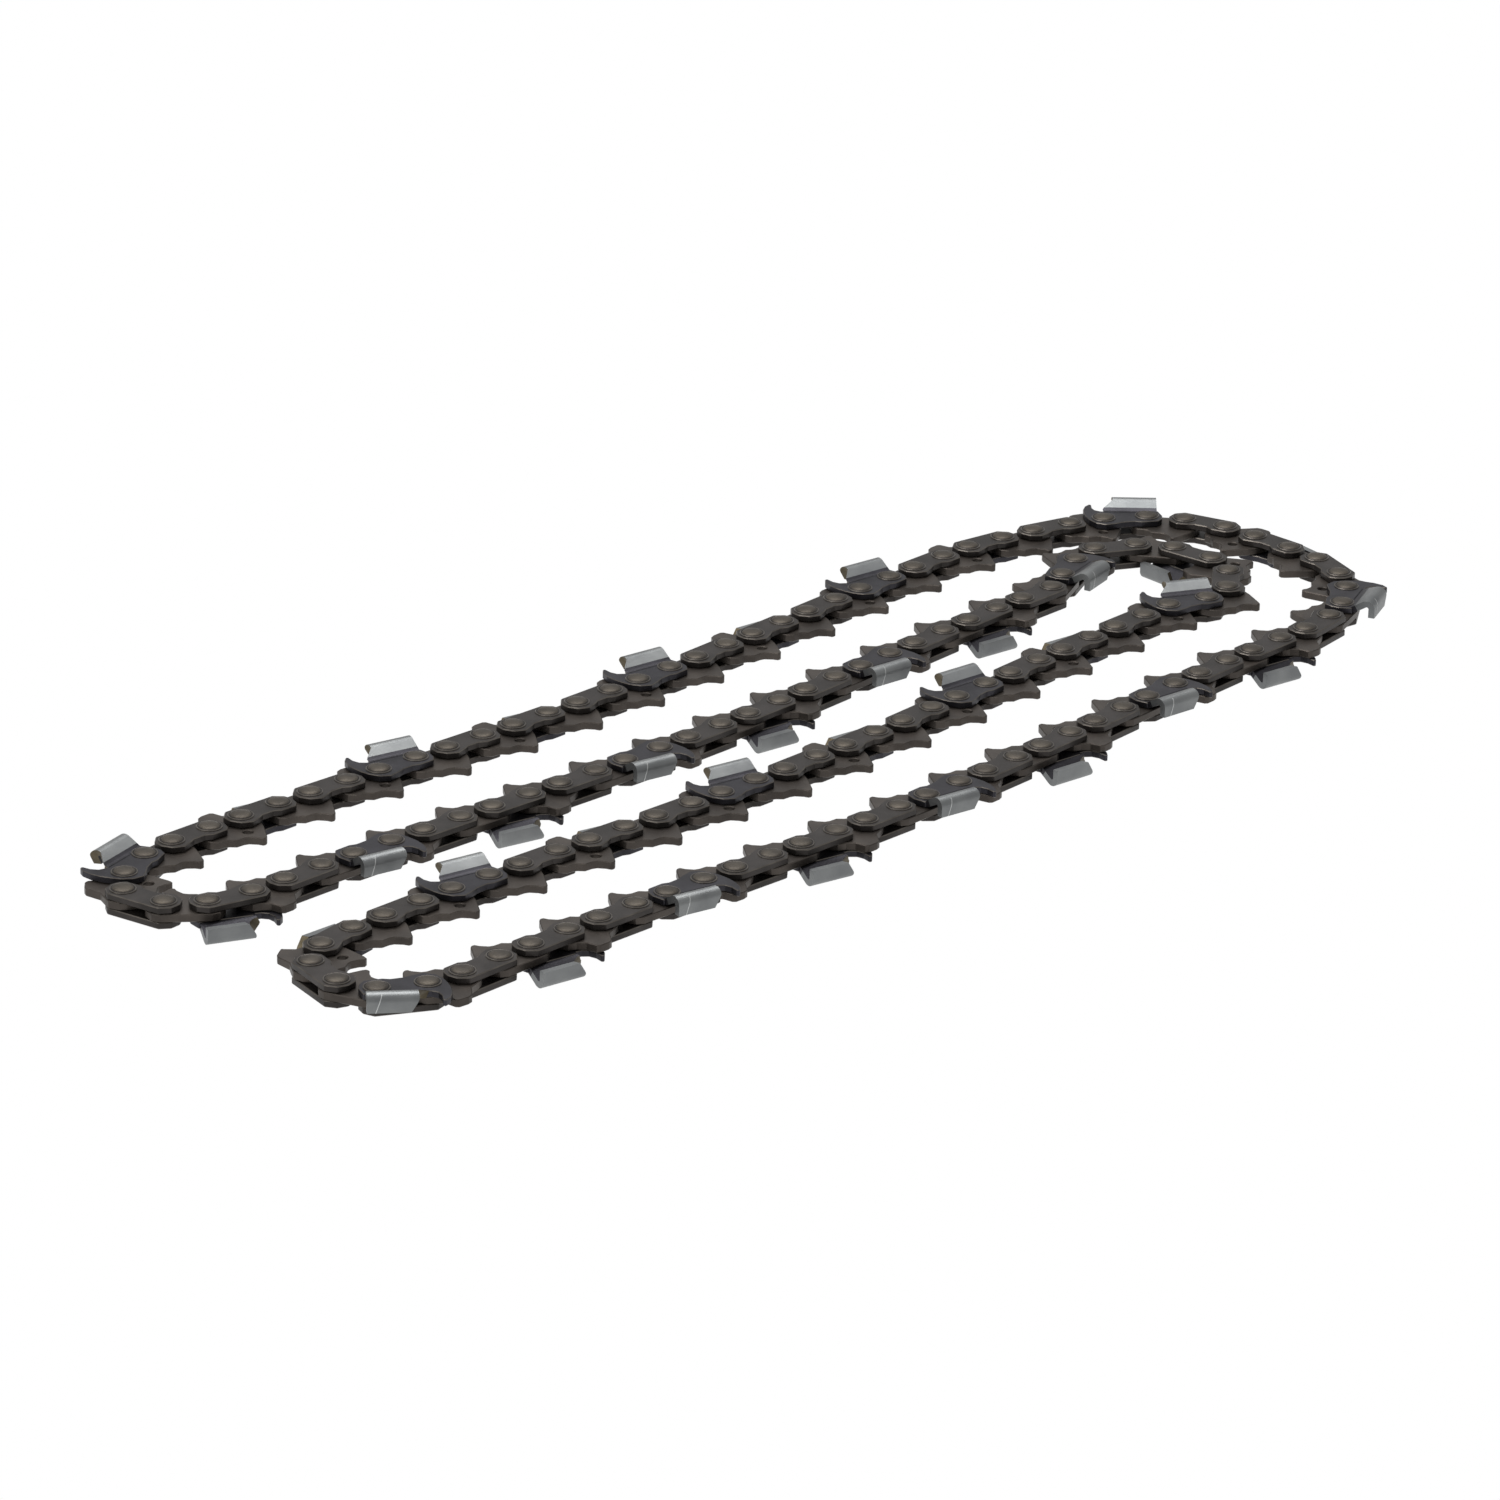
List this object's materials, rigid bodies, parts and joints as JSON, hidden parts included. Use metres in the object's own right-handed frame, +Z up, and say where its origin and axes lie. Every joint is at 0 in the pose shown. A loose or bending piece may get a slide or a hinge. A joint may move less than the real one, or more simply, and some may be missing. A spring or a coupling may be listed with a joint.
{
  "type": "saw chain loop",
  "caption": "Closed loop of riveted saw chain with left and right cutters, tie straps and drive links, lying folded in two legs.",
  "frame": {"origin": "centre of the folded loop's outline on the surface it lies on", "axes": "+X along the straight runs towards the wide bend, +Y across them towards the back runs, +Z up, along every rivet"},
  "size_m": [0.2932, 0.0958, 0.0075],
  "materials": {
    "chain_steel": "dark oiled heat-treated steel",
    "cutter_steel": "chromed cutter with dark side plate"
  },
  "bodies": {
    "outer_bend": {"outer_bend": "chain_steel"},
    "left_front_bend": {"left_front_bend": "chain_steel"},
    "inner_bend": {"inner_bend": "chain_steel"},
    "left_back_bend": {"left_back_bend": "chain_steel"},
    "back_outer_run_01_strap_link": {"back_outer_run_01_strap_link": "chain_steel"},
    "back_outer_run_02_lower_cutter": {"back_outer_run_02_lower_cutter": "cutter_steel"},
    "back_outer_run_03_strap_link": {"back_outer_run_03_strap_link": "chain_steel"},
    "back_outer_run_04_upper_cutter": {"back_outer_run_04_upper_cutter": "cutter_steel"},
    "back_outer_run_05_strap_link": {"back_outer_run_05_strap_link": "chain_steel"},
    "back_outer_run_06_lower_cutter": {"back_outer_run_06_lower_cutter": "cutter_steel"},
    "back_outer_run_07_strap_link": {"back_outer_run_07_strap_link": "chain_steel"},
    "back_outer_run_08_upper_cutter": {"back_outer_run_08_upper_cutter": "cutter_steel"},
    "back_outer_run_09_strap_link": {"back_outer_run_09_strap_link": "chain_steel"},
    "back_outer_run_10_lower_cutter": {"back_outer_run_10_lower_cutter": "cutter_steel"},
    "back_outer_run_11_strap_link": {"back_outer_run_11_strap_link": "chain_steel"},
    "back_outer_run_12_upper_cutter": {"back_outer_run_12_upper_cutter": "cutter_steel"},
    "back_outer_run_13_strap_link": {"back_outer_run_13_strap_link": "chain_steel"},
    "front_outer_run_01_lower_cutter": {"front_outer_run_01_lower_cutter": "cutter_steel"},
    "front_outer_run_02_strap_link": {"front_outer_run_02_strap_link": "chain_steel"},
    "front_outer_run_03_upper_cutter": {"front_outer_run_03_upper_cutter": "cutter_steel"},
    "front_outer_run_04_strap_link": {"front_outer_run_04_strap_link": "chain_steel"},
    "front_outer_run_05_lower_cutter": {"front_outer_run_05_lower_cutter": "cutter_steel"},
    "front_outer_run_06_strap_link": {"front_outer_run_06_strap_link": "chain_steel"},
    "front_outer_run_07_upper_cutter": {"front_outer_run_07_upper_cutter": "cutter_steel"},
    "front_outer_run_08_strap_link": {"front_outer_run_08_strap_link": "chain_steel"},
    "front_outer_run_09_lower_cutter": {"front_outer_run_09_lower_cutter": "cutter_steel"},
    "front_outer_run_10_strap_link": {"front_outer_run_10_strap_link": "chain_steel"},
    "front_outer_run_11_upper_cutter": {"front_outer_run_11_upper_cutter": "cutter_steel"},
    "front_outer_run_12_strap_link": {"front_outer_run_12_strap_link": "chain_steel"},
    "front_outer_run_13_lower_cutter": {"front_outer_run_13_lower_cutter": "cutter_steel"},
    "front_inner_run_01_strap_link": {"front_inner_run_01_strap_link": "chain_steel"},
    "front_inner_run_02_upper_cutter": {"front_inner_run_02_upper_cutter": "cutter_steel"},
    "front_inner_run_03_strap_link": {"front_inner_run_03_strap_link": "chain_steel"},
    "front_inner_run_04_lower_cutter": {"front_inner_run_04_lower_cutter": "cutter_steel"},
    "front_inner_run_05_strap_link": {"front_inner_run_05_strap_link": "chain_steel"},
    "front_inner_run_06_upper_cutter": {"front_inner_run_06_upper_cutter": "cutter_steel"},
    "front_inner_run_07_strap_link": {"front_inner_run_07_strap_link": "chain_steel"},
    "front_inner_run_08_lower_cutter": {"front_inner_run_08_lower_cutter": "cutter_steel"},
    "front_inner_run_09_strap_link": {"front_inner_run_09_strap_link": "chain_steel"},
    "front_inner_run_10_upper_cutter": {"front_inner_run_10_upper_cutter": "cutter_steel"},
    "front_inner_run_11_strap_link": {"front_inner_run_11_strap_link": "chain_steel"},
    "front_inner_run_12_lower_cutter": {"front_inner_run_12_lower_cutter": "cutter_steel"},
    "front_inner_run_13_strap_link": {"front_inner_run_13_strap_link": "chain_steel"},
    "back_inner_run_01_strap_link": {"back_inner_run_01_strap_link": "chain_steel"},
    "back_inner_run_02_lower_cutter": {"back_inner_run_02_lower_cutter": "cutter_steel"},
    "back_inner_run_03_strap_link": {"back_inner_run_03_strap_link": "chain_steel"},
    "back_inner_run_04_upper_cutter": {"back_inner_run_04_upper_cutter": "cutter_steel"},
    "back_inner_run_05_strap_link": {"back_inner_run_05_strap_link": "chain_steel"},
    "back_inner_run_06_lower_cutter": {"back_inner_run_06_lower_cutter": "cutter_steel"},
    "back_inner_run_07_strap_link": {"back_inner_run_07_strap_link": "chain_steel"},
    "back_inner_run_08_upper_cutter": {"back_inner_run_08_upper_cutter": "cutter_steel"},
    "back_inner_run_09_strap_link": {"back_inner_run_09_strap_link": "chain_steel"},
    "back_inner_run_10_lower_cutter": {"back_inner_run_10_lower_cutter": "cutter_steel"},
    "back_inner_run_11_strap_link": {"back_inner_run_11_strap_link": "chain_steel"},
    "back_inner_run_12_upper_cutter": {"back_inner_run_12_upper_cutter": "cutter_steel"},
    "back_inner_run_13_strap_link": {"back_inner_run_13_strap_link": "chain_steel"}
  },
  "joints": [
    {"name": "back_leg_swing", "type": "hinge", "parent": "outer_bend", "child": "back_outer_run_13_strap_link", "pos_m": [0.09237, 0.03993, 0.00375], "axis": [0, 0, -1], "range_deg": [0, 15]},
    {"name": "back_leg_bow_1", "type": "hinge", "parent": "back_outer_run_13_strap_link", "child": "back_outer_run_12_upper_cutter", "pos_m": [0.07586, 0.03969, 0.00375], "axis": [0, 0, -1], "range_deg": [0, 3]},
    {"name": "back_leg_bow_2", "type": "hinge", "parent": "back_outer_run_12_upper_cutter", "child": "back_outer_run_11_strap_link", "pos_m": [0.05936, 0.03904, 0.00375], "axis": [0, 0, -1], "range_deg": [0, 3]},
    {"name": "back_leg_bow_3", "type": "hinge", "parent": "back_outer_run_11_strap_link", "child": "back_outer_run_10_lower_cutter", "pos_m": [0.04288, 0.03813, 0.00375], "axis": [0, 0, -1], "range_deg": [0, 3]},
    {"name": "back_leg_bow_4", "type": "hinge", "parent": "back_outer_run_10_lower_cutter", "child": "back_outer_run_09_strap_link", "pos_m": [0.0264, 0.03715, 0.00375], "axis": [0, 0, -1], "range_deg": [0, 3]},
    {"name": "back_leg_bow_5", "type": "hinge", "parent": "back_outer_run_09_strap_link", "child": "back_outer_run_08_upper_cutter", "pos_m": [0.00991, 0.03635, 0.00375], "axis": [0, 0, -1], "range_deg": [0, 3]},
    {"name": "back_leg_bow_6", "type": "hinge", "parent": "back_outer_run_08_upper_cutter", "child": "back_outer_run_07_strap_link", "pos_m": [-0.0066, 0.03589, 0.00375], "axis": [0, 0, -1], "range_deg": [0, 3]},
    {"name": "back_outer_pivot_08", "type": "hinge", "parent": "back_outer_run_07_strap_link", "child": "back_outer_run_06_lower_cutter", "pos_m": [-0.02311, 0.03589, 0.00375], "axis": [0, 0, -1], "range_deg": [-3, 0]},
    {"name": "back_outer_pivot_09", "type": "hinge", "parent": "back_outer_run_06_lower_cutter", "child": "back_outer_run_05_strap_link", "pos_m": [-0.03961, 0.03635, 0.00375], "axis": [0, 0, -1], "range_deg": [-3, 0]},
    {"name": "back_outer_pivot_10", "type": "hinge", "parent": "back_outer_run_05_strap_link", "child": "back_outer_run_04_upper_cutter", "pos_m": [-0.0561, 0.03715, 0.00375], "axis": [0, 0, -1], "range_deg": [-3, 0]},
    {"name": "back_outer_pivot_11", "type": "hinge", "parent": "back_outer_run_04_upper_cutter", "child": "back_outer_run_03_strap_link", "pos_m": [-0.07258, 0.03813, 0.00375], "axis": [0, 0, -1], "range_deg": [-3, 0]},
    {"name": "back_outer_pivot_12", "type": "hinge", "parent": "back_outer_run_03_strap_link", "child": "back_outer_run_02_lower_cutter", "pos_m": [-0.08907, 0.03904, 0.00375], "axis": [0, 0, -1], "range_deg": [-3, 0]},
    {"name": "back_outer_pivot_13", "type": "hinge", "parent": "back_outer_run_02_lower_cutter", "child": "back_outer_run_01_strap_link", "pos_m": [-0.10556, 0.03969, 0.00375], "axis": [0, 0, -1], "range_deg": [-3, 0]},
    {"name": "back_outer_pivot_14", "type": "hinge", "parent": "back_outer_run_01_strap_link", "child": "left_back_bend", "pos_m": [-0.12207, 0.03993, 0.00375], "axis": [0, 0, -1], "range_deg": [-15, 0]},
    {"name": "back_inner_pivot_01", "type": "hinge", "parent": "left_back_bend", "child": "back_inner_run_13_strap_link", "pos_m": [-0.12708, 0.0137, 0.00375], "axis": [0, 0, -1], "range_deg": [0, 15]},
    {"name": "back_inner_pivot_02", "type": "hinge", "parent": "back_inner_run_13_strap_link", "child": "back_inner_run_12_upper_cutter", "pos_m": [-0.11057, 0.01347, 0.00375], "axis": [0, 0, -1], "range_deg": [0, 3]},
    {"name": "back_inner_pivot_03", "type": "hinge", "parent": "back_inner_run_12_upper_cutter", "child": "back_inner_run_11_strap_link", "pos_m": [-0.09408, 0.01282, 0.00375], "axis": [0, 0, -1], "range_deg": [0, 3]},
    {"name": "back_inner_pivot_04", "type": "hinge", "parent": "back_inner_run_11_strap_link", "child": "back_inner_run_10_lower_cutter", "pos_m": [-0.07759, 0.01191, 0.00375], "axis": [0, 0, -1], "range_deg": [0, 3]},
    {"name": "back_inner_pivot_05", "type": "hinge", "parent": "back_inner_run_10_lower_cutter", "child": "back_inner_run_09_strap_link", "pos_m": [-0.06111, 0.01093, 0.00375], "axis": [0, 0, -1], "range_deg": [0, 3]},
    {"name": "back_inner_pivot_06", "type": "hinge", "parent": "back_inner_run_09_strap_link", "child": "back_inner_run_08_upper_cutter", "pos_m": [-0.04462, 0.01013, 0.00375], "axis": [0, 0, -1], "range_deg": [0, 3]},
    {"name": "back_inner_pivot_07", "type": "hinge", "parent": "back_inner_run_08_upper_cutter", "child": "back_inner_run_07_strap_link", "pos_m": [-0.02812, 0.00967, 0.00375], "axis": [0, 0, -1], "range_deg": [0, 3]},
    {"name": "back_inner_pivot_08", "type": "hinge", "parent": "back_inner_run_07_strap_link", "child": "back_inner_run_06_lower_cutter", "pos_m": [-0.01161, 0.00967, 0.00375], "axis": [0, 0, -1], "range_deg": [-3, 0]},
    {"name": "back_inner_pivot_09", "type": "hinge", "parent": "back_inner_run_06_lower_cutter", "child": "back_inner_run_05_strap_link", "pos_m": [0.0049, 0.01013, 0.00375], "axis": [0, 0, -1], "range_deg": [-3, 0]},
    {"name": "back_inner_pivot_10", "type": "hinge", "parent": "back_inner_run_05_strap_link", "child": "back_inner_run_04_upper_cutter", "pos_m": [0.02139, 0.01093, 0.00375], "axis": [0, 0, -1], "range_deg": [-3, 0]},
    {"name": "back_inner_pivot_11", "type": "hinge", "parent": "back_inner_run_04_upper_cutter", "child": "back_inner_run_03_strap_link", "pos_m": [0.03787, 0.01191, 0.00375], "axis": [0, 0, -1], "range_deg": [-3, 0]},
    {"name": "back_inner_pivot_12", "type": "hinge", "parent": "back_inner_run_03_strap_link", "child": "back_inner_run_02_lower_cutter", "pos_m": [0.05435, 0.01282, 0.00375], "axis": [0, 0, -1], "range_deg": [-3, 0]},
    {"name": "back_inner_pivot_13", "type": "hinge", "parent": "back_inner_run_02_lower_cutter", "child": "back_inner_run_01_strap_link", "pos_m": [0.07085, 0.01347, 0.00375], "axis": [0, 0, -1], "range_deg": [-3, 0]},
    {"name": "back_inner_pivot_14", "type": "hinge", "parent": "back_inner_run_01_strap_link", "child": "inner_bend", "pos_m": [0.08736, 0.0137, 0.00375], "axis": [0, 0, -1], "range_deg": [-15, 0]},
    {"name": "front_leg_swing", "type": "hinge", "parent": "outer_bend", "child": "front_outer_run_01_lower_cutter", "pos_m": [0.09835, -0.03503, 0.00375], "axis": [0, 0, 1], "range_deg": [0, 15]},
    {"name": "front_leg_bow_1", "type": "hinge", "parent": "front_outer_run_01_lower_cutter", "child": "front_outer_run_02_strap_link", "pos_m": [0.08184, -0.03536, 0.00375], "axis": [0, 0, 1], "range_deg": [0, 3]},
    {"name": "front_leg_bow_2", "type": "hinge", "parent": "front_outer_run_02_strap_link", "child": "front_outer_run_03_upper_cutter", "pos_m": [0.06535, -0.03611, 0.00375], "axis": [0, 0, 1], "range_deg": [0, 3]},
    {"name": "front_leg_bow_3", "type": "hinge", "parent": "front_outer_run_03_upper_cutter", "child": "front_outer_run_04_strap_link", "pos_m": [0.04887, -0.03713, 0.00375], "axis": [0, 0, 1], "range_deg": [0, 3]},
    {"name": "front_leg_bow_4", "type": "hinge", "parent": "front_outer_run_04_strap_link", "child": "front_outer_run_05_lower_cutter", "pos_m": [0.03239, -0.0382, 0.00375], "axis": [0, 0, 1], "range_deg": [0, 3]},
    {"name": "front_leg_bow_5", "type": "hinge", "parent": "front_outer_run_05_lower_cutter", "child": "front_outer_run_06_strap_link", "pos_m": [0.01591, -0.03911, 0.00375], "axis": [0, 0, 1], "range_deg": [0, 3]},
    {"name": "front_leg_bow_6", "type": "hinge", "parent": "front_outer_run_06_strap_link", "child": "front_outer_run_07_upper_cutter", "pos_m": [-0.00059, -0.03966, 0.00375], "axis": [0, 0, 1], "range_deg": [0, 3]},
    {"name": "front_outer_pivot_08", "type": "hinge", "parent": "front_outer_run_07_upper_cutter", "child": "front_outer_run_08_strap_link", "pos_m": [-0.0171, -0.03976, 0.00375], "axis": [0, 0, 1], "range_deg": [-3, 0]},
    {"name": "front_outer_pivot_09", "type": "hinge", "parent": "front_outer_run_08_strap_link", "child": "front_outer_run_09_lower_cutter", "pos_m": [-0.03361, -0.03941, 0.00375], "axis": [0, 0, 1], "range_deg": [-3, 0]},
    {"name": "front_outer_pivot_10", "type": "hinge", "parent": "front_outer_run_09_lower_cutter", "child": "front_outer_run_10_strap_link", "pos_m": [-0.0501, -0.0387, 0.00375], "axis": [0, 0, 1], "range_deg": [-3, 0]},
    {"name": "front_outer_pivot_11", "type": "hinge", "parent": "front_outer_run_10_strap_link", "child": "front_outer_run_11_upper_cutter", "pos_m": [-0.06659, -0.03783, 0.00375], "axis": [0, 0, 1], "range_deg": [-3, 0]},
    {"name": "front_outer_pivot_12", "type": "hinge", "parent": "front_outer_run_11_upper_cutter", "child": "front_outer_run_12_strap_link", "pos_m": [-0.08308, -0.03702, 0.00375], "axis": [0, 0, 1], "range_deg": [-3, 0]},
    {"name": "front_outer_pivot_13", "type": "hinge", "parent": "front_outer_run_12_strap_link", "child": "front_outer_run_13_lower_cutter", "pos_m": [-0.09958, -0.03647, 0.00375], "axis": [0, 0, 1], "range_deg": [-3, 0]},
    {"name": "front_outer_pivot_14", "type": "hinge", "parent": "front_outer_run_13_lower_cutter", "child": "left_front_bend", "pos_m": [-0.11609, -0.03633, 0.00375], "axis": [0, 0, 1], "range_deg": [-15, 0]},
    {"name": "front_inner_pivot_01", "type": "hinge", "parent": "left_front_bend", "child": "front_inner_run_01_strap_link", "pos_m": [-0.11797, -0.00979, 0.00375], "axis": [0, 0, 1], "range_deg": [0, 15]},
    {"name": "front_inner_pivot_02", "type": "hinge", "parent": "front_inner_run_01_strap_link", "child": "front_inner_run_02_upper_cutter", "pos_m": [-0.10146, -0.00992, 0.00375], "axis": [0, 0, 1], "range_deg": [0, 3]},
    {"name": "front_inner_pivot_03", "type": "hinge", "parent": "front_inner_run_02_upper_cutter", "child": "front_inner_run_03_strap_link", "pos_m": [-0.08496, -0.01047, 0.00375], "axis": [0, 0, 1], "range_deg": [0, 3]},
    {"name": "front_inner_pivot_04", "type": "hinge", "parent": "front_inner_run_03_strap_link", "child": "front_inner_run_04_lower_cutter", "pos_m": [-0.06847, -0.01128, 0.00375], "axis": [0, 0, 1], "range_deg": [0, 3]},
    {"name": "front_inner_pivot_05", "type": "hinge", "parent": "front_inner_run_04_lower_cutter", "child": "front_inner_run_05_strap_link", "pos_m": [-0.05198, -0.01215, 0.00375], "axis": [0, 0, 1], "range_deg": [0, 3]},
    {"name": "front_inner_pivot_06", "type": "hinge", "parent": "front_inner_run_05_strap_link", "child": "front_inner_run_06_upper_cutter", "pos_m": [-0.03549, -0.01286, 0.00375], "axis": [0, 0, 1], "range_deg": [0, 3]},
    {"name": "front_inner_pivot_07", "type": "hinge", "parent": "front_inner_run_06_upper_cutter", "child": "front_inner_run_07_strap_link", "pos_m": [-0.01898, -0.01321, 0.00375], "axis": [0, 0, 1], "range_deg": [0, 3]},
    {"name": "front_inner_pivot_08", "type": "hinge", "parent": "front_inner_run_07_strap_link", "child": "front_inner_run_08_lower_cutter", "pos_m": [-0.00247, -0.01311, 0.00375], "axis": [0, 0, 1], "range_deg": [-3, 0]},
    {"name": "front_inner_pivot_09", "type": "hinge", "parent": "front_inner_run_08_lower_cutter", "child": "front_inner_run_09_strap_link", "pos_m": [0.01403, -0.01256, 0.00375], "axis": [0, 0, 1], "range_deg": [-3, 0]},
    {"name": "front_inner_pivot_10", "type": "hinge", "parent": "front_inner_run_09_strap_link", "child": "front_inner_run_10_upper_cutter", "pos_m": [0.03052, -0.01165, 0.00375], "axis": [0, 0, 1], "range_deg": [-3, 0]},
    {"name": "front_inner_pivot_11", "type": "hinge", "parent": "front_inner_run_10_upper_cutter", "child": "front_inner_run_11_strap_link", "pos_m": [0.04699, -0.01058, 0.00375], "axis": [0, 0, 1], "range_deg": [-3, 0]},
    {"name": "front_inner_pivot_12", "type": "hinge", "parent": "front_inner_run_11_strap_link", "child": "front_inner_run_12_lower_cutter", "pos_m": [0.06347, -0.00956, 0.00375], "axis": [0, 0, 1], "range_deg": [-3, 0]},
    {"name": "front_inner_pivot_13", "type": "hinge", "parent": "front_inner_run_12_lower_cutter", "child": "front_inner_run_13_strap_link", "pos_m": [0.07996, -0.00881, 0.00375], "axis": [0, 0, 1], "range_deg": [-3, 0]}
  ],
  "couplings": [
    {"joint": "back_outer_pivot_08", "follows": "back_leg_bow_6", "ratio": -1},
    {"joint": "back_outer_pivot_09", "follows": "back_leg_bow_5", "ratio": -1},
    {"joint": "back_outer_pivot_10", "follows": "back_leg_bow_4", "ratio": -1},
    {"joint": "back_outer_pivot_11", "follows": "back_leg_bow_3", "ratio": -1},
    {"joint": "back_outer_pivot_12", "follows": "back_leg_bow_2", "ratio": -1},
    {"joint": "back_outer_pivot_13", "follows": "back_leg_bow_1", "ratio": -1},
    {"joint": "back_outer_pivot_14", "follows": "back_leg_swing", "ratio": -1},
    {"joint": "back_inner_pivot_01", "follows": "back_leg_swing", "ratio": 1},
    {"joint": "back_inner_pivot_02", "follows": "back_leg_bow_1", "ratio": 1},
    {"joint": "back_inner_pivot_03", "follows": "back_leg_bow_2", "ratio": 1},
    {"joint": "back_inner_pivot_04", "follows": "back_leg_bow_3", "ratio": 1},
    {"joint": "back_inner_pivot_05", "follows": "back_leg_bow_4", "ratio": 1},
    {"joint": "back_inner_pivot_06", "follows": "back_leg_bow_5", "ratio": 1},
    {"joint": "back_inner_pivot_07", "follows": "back_leg_bow_6", "ratio": 1},
    {"joint": "back_inner_pivot_08", "follows": "back_leg_bow_6", "ratio": -1},
    {"joint": "back_inner_pivot_09", "follows": "back_leg_bow_5", "ratio": -1},
    {"joint": "back_inner_pivot_10", "follows": "back_leg_bow_4", "ratio": -1},
    {"joint": "back_inner_pivot_11", "follows": "back_leg_bow_3", "ratio": -1},
    {"joint": "back_inner_pivot_12", "follows": "back_leg_bow_2", "ratio": -1},
    {"joint": "back_inner_pivot_13", "follows": "back_leg_bow_1", "ratio": -1},
    {"joint": "back_inner_pivot_14", "follows": "back_leg_swing", "ratio": -1},
    {"joint": "front_outer_pivot_08", "follows": "front_leg_bow_6", "ratio": -1},
    {"joint": "front_outer_pivot_09", "follows": "front_leg_bow_5", "ratio": -1},
    {"joint": "front_outer_pivot_10", "follows": "front_leg_bow_4", "ratio": -1},
    {"joint": "front_outer_pivot_11", "follows": "front_leg_bow_3", "ratio": -1},
    {"joint": "front_outer_pivot_12", "follows": "front_leg_bow_2", "ratio": -1},
    {"joint": "front_outer_pivot_13", "follows": "front_leg_bow_1", "ratio": -1},
    {"joint": "front_outer_pivot_14", "follows": "front_leg_swing", "ratio": -1},
    {"joint": "front_inner_pivot_01", "follows": "front_leg_swing", "ratio": 1},
    {"joint": "front_inner_pivot_02", "follows": "front_leg_bow_1", "ratio": 1},
    {"joint": "front_inner_pivot_03", "follows": "front_leg_bow_2", "ratio": 1},
    {"joint": "front_inner_pivot_04", "follows": "front_leg_bow_3", "ratio": 1},
    {"joint": "front_inner_pivot_05", "follows": "front_leg_bow_4", "ratio": 1},
    {"joint": "front_inner_pivot_06", "follows": "front_leg_bow_5", "ratio": 1},
    {"joint": "front_inner_pivot_07", "follows": "front_leg_bow_6", "ratio": 1},
    {"joint": "front_inner_pivot_08", "follows": "front_leg_bow_6", "ratio": -1},
    {"joint": "front_inner_pivot_09", "follows": "front_leg_bow_5", "ratio": -1},
    {"joint": "front_inner_pivot_10", "follows": "front_leg_bow_4", "ratio": -1},
    {"joint": "front_inner_pivot_11", "follows": "front_leg_bow_3", "ratio": -1},
    {"joint": "front_inner_pivot_12", "follows": "front_leg_bow_2", "ratio": -1},
    {"joint": "front_inner_pivot_13", "follows": "front_leg_bow_1", "ratio": -1}
  ]
}
